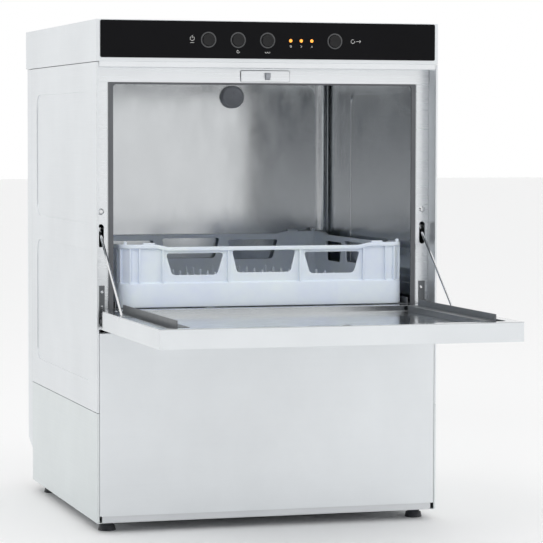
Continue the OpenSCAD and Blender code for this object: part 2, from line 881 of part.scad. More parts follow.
// Inner face of the door: a flange all round and a shallow dish inside it
module door_liner() {
    rim = 18;
    x = door_x - rim;
    y0 = door_free_y + rim;
    y1 = hinge_y - 20;
    hole_x = latch_w / 2 + latch_room;
    hole_y = door_free_y + door_z1 - latch_z;
    piece("silver") difference() {
        union() {
            block([-door_x, door_free_y, flange_z - sheet], [door_x, door_end_y, flange_z]);
            flat_plate(-x, y0, x, y1, 15, liner_z - sheet, flange_z - sheet);
        }
        flat_plate(-x + sheet, y0 + sheet, x - sheet, y1 - sheet, 15 - sheet, liner_z, flange_z + 1);
        ear_notches();
        block([latch_x - hole_x, hole_y - latch_h / 2 - latch_room, flange_z - 5],
            [latch_x + hole_x, hole_y + latch_h / 2 + latch_drop, flange_z + 1]);
        both_sides() translate([stay_x, stay_y, 0])
            flat_plate(-stay_eye_w / 2 - 1, -stay_eye_r - 1, stay_eye_w / 2 + 1, stay_eye_r + 9, 2,
                flange_z - 3, flange_z + 1);
    }
}

module door_rails() {
    piece("dimgray") both_sides() rail(door_free_y + 32, hinge_y - 32, rail_in + rail_t);
}

// Solid blocks inside the door that turn on the hinge pins
module hinge_blocks() {
    x1 = ear_x0 - 1.5;
    piece("slategray") both_sides() difference() {
        block([x1 - block_w, hinge_y - 9, skin_z + sheet], [x1, door_end_y - sheet, flange_z - sheet]);
        along_x([x1 - block_w - 1, hinge_y, hinge_z], pin_r + run_gap, block_w + 2);
    }
}

// Fixed brackets on the posts, each with an ear round a hinge pin
module hinge_brackets() {
    z1 = hinge_z + 58;
    piece("dimgray") both_sides() difference() {
        union() {
            block([ear_x0 - 8, frame_y - 2, hinge_z + 13], [ear_x0 + ear_t, frame_y, z1]);
            along_x([ear_x0, hinge_y, hinge_z], 8.5, ear_t);
            block([ear_x0, hinge_y, hinge_z - 4], [ear_x0 + ear_t, frame_y - 4, hinge_z + 8]);
            block([ear_x0, frame_y - 8, hinge_z - 4], [ear_x0 + ear_t, frame_y, hinge_z + 26]);
        }
        along_x([ear_x0 - 1, hinge_y, hinge_z], pin_r, ear_t + 2);
    }
}

module hinge_pins() {
    x1 = ear_x0 - 1.5;
    piece("silver") both_sides()
        along_x([x1 - block_w, hinge_y, hinge_z], pin_r, block_w + 1.5 + ear_t + 1);
}

module stay_pins() {
    x0 = stay_x - stay_eye_w / 2 - 3;
    piece("silver") both_sides() {
        along_x([x0, stay_y, stay_z], stay_pin_r, door_x - x0);
        block([x0 - 2, stay_y - 5, skin_z + sheet], [x0, stay_y + 5, flange_z - sheet]);
    }
}

// Round rod with an eye on the door's pin and a stop collar behind the post
module stay_rod() {
    translate([stay_x, stay_y, stay_z]) rotate([stay_angle, 0, 0]) difference() {
        union() {
            along_x([-stay_eye_w / 2, 0, 0], stay_eye_r, stay_eye_w);
            along_y([0, 4, 0], stay_r, stay_len - 4);
            along_y([0, stay_to_slot + 12, 0], stay_slot_w / 2 + 2, 6);
        }
        along_x([-stay_eye_w, 0, 0], stay_pin_r + run_gap, 2 * stay_eye_w);
    }
}

module left_stay_rod() {
    piece("silver") mirror([1, 0, 0]) stay_rod();
}

module right_stay_rod() {
    piece("silver") stay_rod();
}

// The springs that pull the stay rods back, each as the tube that its coil fills
module stay_springs() {
    l = side_y - 50 - spring_y0;
    piece("gray") both_sides() {
        difference() {
            along_y([stay_x, spring_y0, spring_z], spring_r, l);
            along_y([stay_x, spring_y0 - 1, spring_z], spring_r - 2, l + 2);
        }
        block([stay_x - 1.5, spring_y0 + l, spring_z - 8], [stay_x + 1.5, side_y - sheet, spring_z + 8]);
    }
}

// --- Basket, drawn in its washing place ---

// One band of the basket's outline, set back by an amount, from z0 to z1
module basket_band(setback, z0, z1) {
    x = basket_w / 2 - setback;
    y = basket_d / 2 - setback;
    flat_plate(-x, -y, x, y, basket_corner - setback, z0, z1);
}

// A window that narrows downwards, cut through two opposite walls
module basket_window(mid, top_w, foot_w, z0, z1, reach) {
    rotate([90, 0, 0]) linear_extrude(2 * reach, center = true)
        polygon([[mid - foot_w, z0], [mid + foot_w, z0], [mid + top_w, z1], [mid - top_w, z1]]);
}

module basket_windows(w, reach) {
    for (s = [-1, 1])
        basket_window(s * 0.242 * w, 0.1 * w, 0.078 * w, basket_foot_z + 13, basket_rim_z - 7, reach);
    basket_window(0, 0.112 * w, 0.094 * w, basket_foot_z + 16, basket_rim_z, reach);
}

module basket() {
    piece("lavender") translate([0, basket_mid_y, 0]) {
        difference() {
            union() {
                basket_band(0, basket_z, basket_foot_z);
                basket_band(basket_setback, basket_foot_z, basket_rim_z);
                basket_band(0, basket_rim_z, basket_z + basket_h);
            }
            basket_band(basket_setback + basket_wall, basket_z + basket_wall, basket_z + basket_h + 1);
            basket_windows(basket_w, basket_d / 2 + 1);
            rotate([0, 0, 90]) basket_windows(basket_d, basket_w / 2 + 1);
            for (i = [0 : cells[0] - 1], j = [0 : cells[1] - 1])
                translate([-basket_w / 2 + 22 + i * cell[0], -basket_d / 2 + 22 + j * cell[1], basket_z - 1])
                    cube([cell[0] - 4, cell[1] - 4, basket_wall + 2]);
        }
        // Pegs on the floor's crossings
        for (i = [1 : cells[0] - 1], j = [1 : cells[1] - 1])
            along_z([-basket_w / 2 + 20 + i * cell[0], -basket_d / 2 + 20 + j * cell[1], basket_z], 2.8, peg_h);
    }
}

// --- Fasteners ---

// A domed screw head that faces the front, at a point on the sheet
module front_screw(x, y, z, r) {
    translate([x, y, z]) rotate([90, 0, 0]) cylinder(r1 = r, r2 = r * 0.55, h = r * 0.45);
}

// Screws of the hinge brackets, the door's bumpers on the posts, and the rear cover's screws
module panel_screws() {
    piece("silver") both_sides() {
        front_screw(ear_x0 - 4, frame_y - 2, hinge_z + 47, 3);
        front_screw(ear_x0 - 4, frame_y - 2, hinge_z + 22, 3);
        front_screw(stay_x, frame_y, stay_slot_z + 40, 5.5);
        for (z = [housing_z - 60, (housing_z + foot_h) / 2, foot_h + 110])
            translate([body_x - 20, body_d - 1, z]) rotate([-90, 0, 0]) cylinder(r1 = 4, r2 = 2.4, h = 1);
    }
}

base_tray();
levelling_feet();
left_side_panel();
right_side_panel();
left_lower_cover();
right_lower_cover();
rear_panel();
rear_cover();
lower_front_panel();
top_housing();
control_fascia();
button_rings();
power_button();
short_cycle_button();
long_cycle_button();
start_button();
indicator_lenses();
control_board();
header_panel();
catch_plate();
latch_tongue();
left_post();
right_post();
door_seal();
wash_tub();
vent_cap();
chamber_rails();
sump_tank();
tank_filter();
overflow_pipe();
drain_pipe();
tank_heater();
arm_spindle();
wash_arm();
rinse_arm();
pump_volute();
pump_motor();
suction_elbow();
delivery_pipe();
boiler();
boiler_element();
inlet_valve();
fill_hose();
rinse_hose();
pressure_switch();
rinse_aid_pump();
cable_gland();
terminal_block();
door_outer_panel();
door_liner();
door_rails();
hinge_blocks();
hinge_brackets();
hinge_pins();
stay_pins();
left_stay_rod();
right_stay_rod();
stay_springs();
basket();
panel_screws();
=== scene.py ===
# %% [markdown]
# ## A front-loading glass washer
# The machine is a box of folded steel sheet with a door that drops open, a
# chamber where two arms spin, and a plastic basket on rails. Everything with a
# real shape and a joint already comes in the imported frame, in metres, so this
# lesson gives it finishes, soft edges and the finer moulded pieces.

# %% Load the frame
import json
import math
import bmesh
import bpy
from mathutils import Matrix, Vector


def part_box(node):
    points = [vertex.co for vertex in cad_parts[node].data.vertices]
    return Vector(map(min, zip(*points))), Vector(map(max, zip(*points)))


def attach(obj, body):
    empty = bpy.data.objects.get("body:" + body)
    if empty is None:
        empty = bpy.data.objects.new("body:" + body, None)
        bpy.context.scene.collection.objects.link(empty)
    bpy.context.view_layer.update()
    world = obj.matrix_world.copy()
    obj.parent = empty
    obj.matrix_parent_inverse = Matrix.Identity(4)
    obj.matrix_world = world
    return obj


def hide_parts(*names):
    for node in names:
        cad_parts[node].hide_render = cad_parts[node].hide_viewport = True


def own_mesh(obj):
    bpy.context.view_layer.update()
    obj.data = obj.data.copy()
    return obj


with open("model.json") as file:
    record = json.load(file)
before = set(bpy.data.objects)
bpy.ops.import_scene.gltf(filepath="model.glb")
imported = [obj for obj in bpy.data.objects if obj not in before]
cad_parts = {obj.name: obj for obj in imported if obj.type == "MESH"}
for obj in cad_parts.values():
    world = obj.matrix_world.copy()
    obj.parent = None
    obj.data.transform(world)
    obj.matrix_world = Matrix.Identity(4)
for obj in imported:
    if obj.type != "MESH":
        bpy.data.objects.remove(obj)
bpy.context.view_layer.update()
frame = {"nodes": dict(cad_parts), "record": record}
nodes = frame["nodes"]
MM = 0.001

# %% [markdown]
# ## The camera
# A machine like this is shown from a few metres away with a long lens, which
# keeps the sides nearly parallel. The camera stands a little to the left and
# looks slightly down. Three turns set it: yaw to the right, pitch down, and the
# small roll of a hand-levelled tripod.

# %% Place the camera
CAMERA_PLACE = Vector((-1.1898, -4.1043, 0.6662))
YAW, PITCH, ROLL = (math.radians(a) for a in (16.574, -3.214, 0.122))
LENS_MM = 165.2


def aim(yaw, pitch, roll):
    """The camera's own axes: right, up and backwards, as one matrix."""
    ahead = Vector((math.sin(yaw) * math.cos(pitch), math.cos(yaw) * math.cos(pitch), math.sin(pitch)))
    level = Vector((math.cos(yaw), -math.sin(yaw), 0))
    above = level.cross(ahead)
    right = level * math.cos(roll) + above * math.sin(roll)
    up = above * math.cos(roll) - level * math.sin(roll)
    return Matrix((right, up, -ahead)).transposed().to_4x4()


camera = bpy.data.objects.new("studio_camera", bpy.data.cameras.new("studio_camera"))
camera.data.lens = LENS_MM
camera.data.sensor_width = 36
camera.data.clip_end = 60
camera.matrix_world = Matrix.Translation(CAMERA_PLACE) @ aim(YAW, PITCH, ROLL)
bpy.context.scene.collection.objects.link(camera)
bpy.context.scene.camera = camera
print("camera", round(CAMERA_PLACE.length, 2), "m from the origin")

# %% [markdown]
# ## Small tools for finishes
# Every finish is one Principled shader with a few texture nodes in front of it.
# The object coordinates are the frame's own metres, so a scale says how many
# grains there are in a metre, and a grain keeps its size from piece to piece.
# What is even all over stays on the shader's own sockets.

# %% Helpers for shader nodes
def new_finish(name, colour, metallic, roughness):
    """An empty finish and its shader, with the even values set."""
    finish = bpy.data.materials.new(name)
    finish.use_nodes = True
    shader = finish.node_tree.nodes["Principled BSDF"]
    shader.inputs["Base Color"].default_value = (*colour, 1)
    shader.inputs["Metallic"].default_value = metallic
    shader.inputs["Roughness"].default_value = roughness
    return finish, shader


def add_node(finish, kind, values=None):
    """A node with some of its inputs set by name."""
    made = finish.node_tree.nodes.new(kind)
    for name, value in (values or {}).items():
        made.inputs[name].default_value = value
    return made


def wire(finish, source, target):
    finish.node_tree.links.new(source, target)


def grain(finish, per_metre, detail=3.0):
    """Noise from 0 to 1 with its own scale along X, Y and Z."""
    place = add_node(finish, "ShaderNodeTexCoord")
    stretch = add_node(finish, "ShaderNodeMapping", {"Scale": per_metre})
    noise = add_node(finish, "ShaderNodeTexNoise", {"Scale": 1.0, "Detail": detail, "Roughness": 0.6})
    wire(finish, place.outputs["Object"], stretch.inputs["Vector"])
    wire(finish, stretch.outputs["Vector"], noise.inputs["Vector"])
    return noise.outputs["Fac"]


def spread(finish, value, low, high):
    """The middle of a noise's range, stretched to go from low to high."""
    ranged = add_node(finish, "ShaderNodeMapRange",
                      {"From Min": 0.3, "From Max": 0.7, "To Min": low, "To Max": high})
    wire(finish, value, ranged.inputs["Value"])
    return ranged.outputs["Result"]


def vary_colour(finish, shader, value, dark, light):
    """The shader's colour goes from dark to light with a value."""
    mix = finish.node_tree.nodes.new("ShaderNodeMix")
    mix.data_type = "RGBA"
    sockets = [s for s in mix.inputs if s.type == "RGBA"]
    sockets[0].default_value = (*dark, 1)
    sockets[1].default_value = (*light, 1)
    wire(finish, spread(finish, value, 0.0, 1.0), mix.inputs["Factor"])
    wire(finish, [s for s in mix.outputs if s.type == "RGBA"][0], shader.inputs["Base Color"])


def emboss(finish, shader, height, depth, strength=1.0):
    """A bump in the surface, depth metres deep."""
    bump = add_node(finish, "ShaderNodeBump", {"Distance": depth, "Strength": strength})
    wire(finish, height, bump.inputs["Height"])
    wire(finish, bump.outputs["Normal"], shader.inputs["Normal"])


def shade(colour, factor):
    return tuple(min(1.0, c * factor) for c in colour)


print("finish helpers ready")

# %% [markdown]
# ## Brushed stainless steel
# The body is satin stainless: a grinding belt leaves fine parallel lines, level
# on the upright faces. A metal shader with a stretched noise gives them: the
# same noise moves the roughness and a very shallow bump. On level faces the
# lines have to run another way, so the face's direction picks between two
# noises. A broad, faint noise adds the cloudiness that a wiped sheet shows. The
# sheet is a little cooler in tint than its slot's colour.

# %% Steel finishes
COOL = (0.985, 1.0, 1.012)


def steel(name, tint, roughness, lines=0.05, depth=0.00002):
    """Brushed steel; lines is how far the roughness swings."""
    colour = tuple(part * cool for part, cool in zip(tint, COOL))
    finish, shader = new_finish(name, colour, 1.0, roughness)
    upright = grain(finish, (6, 6, 900))
    flat = grain(finish, (6, 900, 6))
    facing = add_node(finish, "ShaderNodeNewGeometry")
    split = add_node(finish, "ShaderNodeSeparateXYZ")
    level = finish.node_tree.nodes.new("ShaderNodeMath")
    level.operation = "ABSOLUTE"
    pick = finish.node_tree.nodes.new("ShaderNodeMix")
    wire(finish, facing.outputs["Normal"], split.inputs["Vector"])
    wire(finish, split.outputs["Z"], level.inputs[0])
    wire(finish, level.outputs["Value"], pick.inputs["Factor"])
    wire(finish, upright, pick.inputs["A"])
    wire(finish, flat, pick.inputs["B"])
    brushed = pick.outputs["Result"]
    wire(finish, spread(finish, brushed, roughness - lines, roughness + lines),
         shader.inputs["Roughness"])
    clouds = grain(finish, (5, 5, 4), 5.0)
    vary_colour(finish, shader, clouds, shade(colour, 0.90), shade(colour, 0.965))
    emboss(finish, shader, brushed, depth, 0.5)
    return finish


print("steel is a function of colour and roughness")

# %% [markdown]
# ## Rolled steel of the chamber
# Inside, the sheet is left as it is rolled: smoother than the outside, almost a
# blurred mirror, with dried water marks. The marks are blotches of a finer noise
# that raise the roughness a little.

# %% Rolled steel
def rolled_steel(name, colour, roughness):
    finish, shader = new_finish(name, colour, 1.0, roughness)
    marks = grain(finish, (30, 30, 14), 5.0)
    wire(finish, spread(finish, marks, roughness - 0.03, roughness + 0.05), shader.inputs["Roughness"])
    vary_colour(finish, shader, grain(finish, (6, 6, 3), 4.0), shade(colour, 0.95), shade(colour, 1.03))
    emboss(finish, shader, grain(finish, (5, 5, 500)), 0.00001, 0.3)
    return finish


print("rolled steel ready")

# %% [markdown]
# ## Moulded plastics, rubber and paint
# A moulding copies the fine spark-eroded grain of its tool, so its finish is an
# even colour with a small round bump. Rubber is the same with more roughness.
# The gloss parts have a clear coat over a nearly smooth face. The basket's
# plastic lets some light into it, which softens the shadows in its ribs. The
# basket and the grey plastic are also lighter than their slots' colours:
# painted light for the chamber's shade.

# %% Plastic, rubber and paint finishes
def moulded(name, colour, roughness, grains=900, depth=0.00003,
            gloss=0.0, glow=0.0, metallic=0.0, shine=0.5, tone_and_painted_light=1.0):
    """A moulding; one factor scales the slot's colour: below 1 a darker tone, above 1 painted light for
    the chamber's shade.
    """
    finish, shader = new_finish(name, colour, metallic, roughness)
    shader.inputs["Specular IOR Level"].default_value = shine
    shader.inputs["Coat Weight"].default_value = gloss
    shader.inputs["Coat Roughness"].default_value = 0.04
    shader.inputs["Subsurface Weight"].default_value = glow
    shader.inputs["Subsurface Radius"].default_value = (0.004, 0.004, 0.005)
    shader.inputs["Subsurface Scale"].default_value = 1.0
    wire(finish, spread(finish, grain(finish, (30, 30, 30), 4.0), roughness * 0.85, roughness * 1.15),
         shader.inputs["Roughness"])
    # Above 1 this factor paints light into the colour, for a piece in the chamber's shade.
    dark, light = shade(colour, 0.93 * tone_and_painted_light), shade(colour, 1.04 * tone_and_painted_light)
    vary_colour(finish, shader, grain(finish, (12, 12, 12), 4.0), dark, light)
    emboss(finish, shader, grain(finish, (grains,) * 3), depth, 0.4)
    return finish


def lit_lens(name, colour, strength):
    """A lens with a lamp behind it: brighter in patches, as a diffuser is."""
    finish, shader = new_finish(name, colour, 0.0, 0.25)
    shader.inputs["Emission Color"].default_value = (*colour, 1)
    wire(finish, spread(finish, grain(finish, (700, 700, 700)), strength * 0.8, strength * 1.2),
         shader.inputs["Emission Strength"])
    return finish


print("plastics ready")

# %% [markdown]
# ## One finish for each of the record's slots
# The record names a slot for every piece and gives the slot's colour, so the
# finishes read their colour there and add what the material does with light.

# %% Make the finishes
colours = {m["slot"]: tuple(m["base_color"]) for m in frame["record"]["materials"]}
recipes = {
    "body_steel": lambda n, c: steel(n, c, 0.40),
    "panel_steel": lambda n, c: steel(n, c, 0.42),
    "cover_steel": lambda n, c: steel(n, c, 0.44),
    "bright_steel": lambda n, c: steel(n, c, 0.30),
    "chamber_steel": lambda n, c: rolled_steel(n, c, 0.15),
    "arm_steel": lambda n, c: rolled_steel(n, c, 0.16),
    "chrome_wire": lambda n, c: rolled_steel(n, c, 0.12),
    "fascia_gloss": lambda n, c: moulded(n, c, 0.14, 60, 0.00001, shine=0.04),
    "button_black": lambda n, c: moulded(n, c, 0.20, 700, 0.00001, shine=0.3, tone_and_painted_light=0.4),
    "ring_grey": lambda n, c: moulded(n, c, 0.30, 700),
    "lamp_amber": lambda n, c: lit_lens(n, c, 1.1),
    "board_green": lambda n, c: moulded(n, c, 0.35, gloss=0.4),
    "seal_rubber": lambda n, c: moulded(n, c, 0.75, 500, 0.00006),
    "rail_grey": lambda n, c: moulded(n, c, 0.38, 400, 0.00004, metallic=0.35),
    # Painted light: the grey plastic is lighter than its slot's colour for the chamber's shade.
    "grey_plastic": lambda n, c: moulded(n, c, 0.50, tone_and_painted_light=1.9),
    "foot_black": lambda n, c: moulded(n, c, 0.55, 500, 0.00005),
    "hose_black": lambda n, c: moulded(n, c, 0.60),
    "hose_clear": lambda n, c: moulded(n, c, 0.30, glow=0.3),
    "valve_white": lambda n, c: moulded(n, c, 0.45),
    "motor_blue": lambda n, c: moulded(n, c, 0.35, 300, 0.00008, gloss=0.3),
    # Painted light: the basket's plastic is lighter than its slot's colour for the chamber's shade.
    "basket_plastic": lambda n, c: moulded(n, c, 0.42, 600, 0.00003, glow=0.3, tone_and_painted_light=1.25),
}
finishes = {slot: recipes[slot](slot, colour) for slot, colour in colours.items()}
slots = {part["node"]: part["material_slot"] for part in frame["record"]["subparts"]}
for name, piece in nodes.items():
    piece.data.materials.clear()
    piece.data.materials.append(finishes[slots[name]])
print(len(finishes), "finishes on", len(nodes), "pieces")

# %% [markdown]
# ## Soft edges on the steel
# Folded sheet has no sharp edge: a bend has a radius, and a cut edge is deburred.
# A bevel modifier rounds the edges without touching the mesh under it, and a
# weighted normal keeps the wide faces flat. Sheet gets a fine bevel, because a
# wide one would eat through its thickness; solid blocks get more.

# %% Round the edges
SHARP = math.radians(38)


def round_edges(piece, width):
    edges = piece.modifiers.new("soft edges", "BEVEL")
    edges.width = width
    edges.segments = 2
    edges.limit_method = "ANGLE"
    edges.angle_limit = SHARP
    edges.use_clamp_overlap = False


def soften(name, width):
    """Closes a piece's seams, rounds its edges and evens its shading."""
    piece = nodes[name]
    seams = piece.modifiers.new("closed seams", "WELD")
    seams.merge_threshold = 1e-6
    round_edges(piece, width)
    shading = piece.modifiers.new("even shading", "WEIGHTED_NORMAL")
    shading.weight = 90


sheet_pieces = [
    "left_side_panel", "right_side_panel", "left_lower_cover", "right_lower_cover", "rear_cover",
    "rear_panel", "lower_front_panel", "top_housing", "header_panel", "left_post", "right_post",
    "catch_plate", "wash_tub", "door_outer_panel", "door_liner", "door_rails", "chamber_rails",
    "hinge_brackets", "base_tray", "control_fascia", "tank_filter",
]
block_pieces = [
    "levelling_feet", "hinge_blocks", "inlet_valve", "wash_arm", "latch_tongue", "door_seal",
    "cable_gland", "overflow_pipe", "left_stay_rod", "right_stay_rod",
]
for name in sheet_pieces:
    soften(name, 0.35 * MM)
for name in block_pieces:
    soften(name, 0.6 * MM)
print("edges rounded on", len(sheet_pieces) + len(block_pieces), "pieces")

# %% [markdown]
# ## Tools for new pieces
# The moulded pieces are made here as meshes. A turned piece is an outline spun
# round an axis, as on a lathe. A drawn line is a curve with a round section, made
# into a mesh. A boolean modifier cuts holes, and its result is kept. Copies of one
# mesh are gathered into one piece where they are identical and move together.

# %% Helpers for meshes
def turned(outline, steps=40):
    """A mesh turned round Z from points (radius, height)."""
    form = bmesh.new()
    points = [form.verts.new((radius, 0, height)) for radius, height in outline]
    edges = [form.edges.new(pair) for pair in zip(points, points[1:])]
    bmesh.ops.spin(form, geom=points + edges, cent=(0, 0, 0), axis=(0, 0, 1), angle=math.tau, steps=steps)
    bmesh.ops.remove_doubles(form, verts=form.verts, dist=1e-6)
    bmesh.ops.recalc_face_normals(form, faces=form.faces)
    mesh = bpy.data.meshes.new("turned")
    form.to_mesh(mesh)
    form.free()
    return mesh


def bar(low, high):
    """A mesh of one bar between two corners."""
    form = bmesh.new()
    size = Vector(high) - Vector(low)
    middle = (Vector(high) + Vector(low)) / 2
    bmesh.ops.create_cube(form, size=1, matrix=Matrix.Translation(middle) @ Matrix.Diagonal((*size, 1)))
    mesh = bpy.data.meshes.new("bar")
    form.to_mesh(mesh)
    form.free()
    return mesh


def gathered(parts):
    """One mesh from (mesh, matrix) pairs."""
    form = bmesh.new()
    for mesh, place in parts:
        copy = mesh.copy()
        copy.transform(place)
        form.from_mesh(copy)
        bpy.data.meshes.remove(copy)
    mesh = bpy.data.meshes.new("gathered")
    form.to_mesh(mesh)
    form.free()
    return mesh


def drawn_line(points, radius):
    """A round bar of one radius through a row of points."""
    curve = bpy.data.curves.new("line", "CURVE")
    curve.dimensions = "3D"
    curve.bevel_depth = radius
    curve.bevel_resolution = 1
    curve.use_fill_caps = True
    line = curve.splines.new("POLY")
    line.points.add(len(points) - 1)
    for point, place in zip(line.points, points):
        point.co = (*place, 1)
    holder = bpy.data.objects.new("line", curve)
    mesh = bpy.data.meshes.new_from_object(holder)
    bpy.data.objects.remove(holder)
    return mesh


def cut_away(mesh, parts):
    """What is left of a mesh when (mesh, matrix) parts are cut out of it."""
    blank = bpy.data.objects.new("blank", mesh)
    cutter = bpy.data.objects.new("cutter", gathered(parts))
    for thing in (cutter, blank):
        bpy.context.scene.collection.objects.link(thing)
    cut = blank.modifiers.new("cut", "BOOLEAN")
    cut.operation = "DIFFERENCE"
    cut.solver = "EXACT"
    cut.object = cutter
    bpy.context.view_layer.update()
    seen = blank.evaluated_get(bpy.context.evaluated_depsgraph_get())
    left = bpy.data.meshes.new_from_object(seen)
    for thing in (cutter, blank):
        bpy.data.objects.remove(thing)
    return left


def add_piece(name, mesh, body, slot, round_by=0.0):
    """A finished piece: a named object on its body, in its slot's finish."""
    mesh.name = name
    piece = bpy.data.objects.new(name, mesh)
    bpy.context.scene.collection.objects.link(piece)
    mesh.materials.append(finishes[slot])
    mesh.shade_smooth()
    mesh.set_sharp_from_angle(angle=SHARP)
    if round_by:
        round_edges(piece, round_by)
    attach(piece, body)
    return piece


FACING_FRONT = Matrix.Rotation(math.radians(90), 4, "X")
print("mesh helpers ready")

# %% [markdown]
# ## Push buttons
# Each button is a black cap in a grey ring. The cap's face is slightly dished so
# that a finger finds it, its edge is rounded, and behind the panel it has a
# collar and a stem that reach the switch. That is a shape for the lathe: one
# outline gives the whole button, sized from the frame's own button.

# %% Turn the buttons
NECK = 6.5 * MM
COLLAR = 2.5 * MM
COLLAR_THICK = 1.5 * MM
STEM = 3 * MM


def turned_button(radius, depth):
    """A cap whose face is at height 0 and whose stem ends at -depth."""
    return turned([
        (0, -0.7 * MM), (radius * 0.45, -0.5 * MM), (radius * 0.72, -0.12 * MM), (radius * 0.82, 0),
        (radius - 0.9 * MM, -0.12 * MM), (radius - 0.3 * MM, -0.5 * MM), (radius, -1.2 * MM),
        (radius, -NECK), (radius + COLLAR, -NECK), (radius + COLLAR, -NECK - COLLAR_THICK),
        (STEM, -NECK - COLLAR_THICK), (STEM, -depth), (0, -depth),
    ], 56)


button_names = ["power_button", "short_cycle_button", "long_cycle_button", "start_button"]
fascia_low, fascia_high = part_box("control_fascia")
button_middles = {}
for name in button_names:
    low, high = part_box(name)
    middle = (low + high) / 2
    cap_radius = (high.x - low.x) / 2 - COLLAR
    mesh = turned_button(cap_radius, high.y - low.y)
    mesh.transform(Matrix.Translation((middle.x, low.y, middle.z)) @ FACING_FRONT)
    cap = add_piece(name.replace("_button", "_cap"), mesh, name, "button_black")
    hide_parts(name)
    button_middles[name] = middle
print("buttons of radius", round(cap_radius / MM, 1), "mm")

# %% [markdown]
# ## Rings round the buttons
# The ring is a thin moulded bezel. Spinning a small half-round outline gives it
# the soft highlight that a flat washer would not have.

# %% Turn the rings
RING_GAP = 0.5 * MM
ring_low, ring_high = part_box("button_rings")
ring_outer = (ring_high.z - ring_low.z) / 2
ring_inner = cap_radius + RING_GAP
ring_rise = ring_high.y - ring_low.y
ring_outline = [(ring_inner, 0), (ring_inner, ring_rise * 0.6), (ring_inner + 0.5 * MM, ring_rise),
                (ring_outer - 0.9 * MM, ring_rise), (ring_outer - 0.2 * MM, ring_rise * 0.6),
                (ring_outer, 0), (ring_inner, 0)]
ring_mesh = turned(ring_outline, 56)
ring_copies = [(ring_mesh, Matrix.Translation((m.x, fascia_low.y, m.z)) @ FACING_FRONT)
               for m in button_middles.values()]
rings = add_piece("button_bezels", gathered(ring_copies), "machine", "ring_grey")
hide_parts("button_rings")
print("rings", round(2 * ring_outer / MM, 1), "mm across")

# %% [markdown]
# ## Indicator lamps
# Three amber lenses stand in a row between the last two buttons. A lens is a
# short domed pin, so it is turned as well, and its finish glows.

# %% Turn the lamps
lamp_low, lamp_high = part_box("indicator_lenses")
lamp_radius = (lamp_high.z - lamp_low.z) / 2
lamp_depth = lamp_high.y - lamp_low.y
dome = [(lamp_radius * math.sin(a), lamp_radius * 0.35 * (math.cos(a) - 1))
        for a in (math.radians(15 * n) for n in range(7))]
lamp_mesh = turned(dome + [(lamp_radius, -lamp_depth), (0, -lamp_depth)], 32)
lamp_pitch = (lamp_high.x - lamp_low.x - 2 * lamp_radius) / 2
lamp_xs = [lamp_low.x + lamp_radius + n * lamp_pitch for n in range(3)]
lamp_z = (lamp_low.z + lamp_high.z) / 2
lamp_copies = [(lamp_mesh, Matrix.Translation((x, lamp_low.y, lamp_z)) @ FACING_FRONT) for x in lamp_xs]
lamps = add_piece("lamp_lenses", gathered(lamp_copies), "machine", "lamp_amber")
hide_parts("indicator_lenses")
print("lamps at", [round(x / MM) for x in lamp_xs])

# %% [markdown]
# ## Printed symbols
# Small white symbols are printed on the glossy panel. They are drawn lines that
# are pressed nearly flat, which leaves a print that stands a few hundredths of a
# millimetre proud. Their points are in millimetres on the panel's face.

# %% Draw the symbols
PRINT_HALF = 0.3 * MM
PRESSED = 0.12
BELOW_BUTTON = 19
BELOW_LAMP = 9.5
BEFORE_POWER = 28
AFTER_START = 37


def arc(x, z, radius, start, end, steps=24):
    """Points of an arc, in degrees from the right, on the panel's face."""
    turns = [math.radians(start + (end - start) * n / steps) for n in range(steps + 1)]
    return [(x + radius * math.cos(t), z + radius * math.sin(t)) for t in turns]


xs = {name: m.x / MM for name, m in button_middles.items()}
row_z = (fascia_low.z + fascia_high.z) / 2 / MM
low_z = row_z - BELOW_BUTTON
lamp_row_z = row_z - BELOW_LAMP
power_x = xs["power_button"] - BEFORE_POWER
start_x = xs["start_button"] + AFTER_START
short_x = xs["short_cycle_button"]
long_x = xs["long_cycle_button"]
lines = [
    arc(power_x, row_z + 2, 3.6, 130, 410),
    [(power_x, row_z + 2.6), (power_x, row_z + 7.2)],
    [(power_x - 3.4, row_z - 5), (power_x + 3.4, row_z - 5)],
    arc(short_x, low_z, 2.4, 90, 360),
    [(short_x, low_z), (short_x, low_z + 2.4)],
    arc(long_x - 2.2, low_z, 2.0, 180, 360),
    arc(long_x + 2.2, low_z, 2.0, 180, 360),
    arc(lamp_xs[0] / MM, lamp_row_z, 1.4, 0, 360),
    [(lamp_xs[1] / MM - 1.2, lamp_row_z + 1.6), (lamp_xs[1] / MM + 1.4, lamp_row_z),
     (lamp_xs[1] / MM - 1.2, lamp_row_z - 1.6)],
    [(lamp_xs[2] / MM - 1.2, lamp_row_z - 1.6), (lamp_xs[2] / MM, lamp_row_z + 1.6),
     (lamp_xs[2] / MM + 1.2, lamp_row_z - 1.6)],
    arc(start_x - 5, row_z, 3.2, 60, 380),
    [(start_x + 1, row_z), (start_x + 9, row_z)],
    [(start_x + 6.5, row_z + 2.2), (start_x + 9, row_z), (start_x + 6.5, row_z - 2.2)],
]
press_flat = Matrix.Translation((0, fascia_low.y, 0)) @ Matrix.Diagonal((1, PRESSED, 1, 1))
prints = [(drawn_line([(x * MM, 0, z * MM) for x, z in points], PRINT_HALF), press_flat)
          for points in lines]
add_piece("panel_symbols", gathered(prints), "machine", "valve_white")
print(len(lines), "printed lines")

# %% [markdown]
# ## The basket's wall
# The rack is one moulding: a wide band at the foot, a thinner wall set back from
# it, and a rim that is raised at the four corners so that racks stack. Sweeping
# one cross-section round a rectangle with round corners gives the whole wall,
# and the rim's points sink a little along the middle of each side.

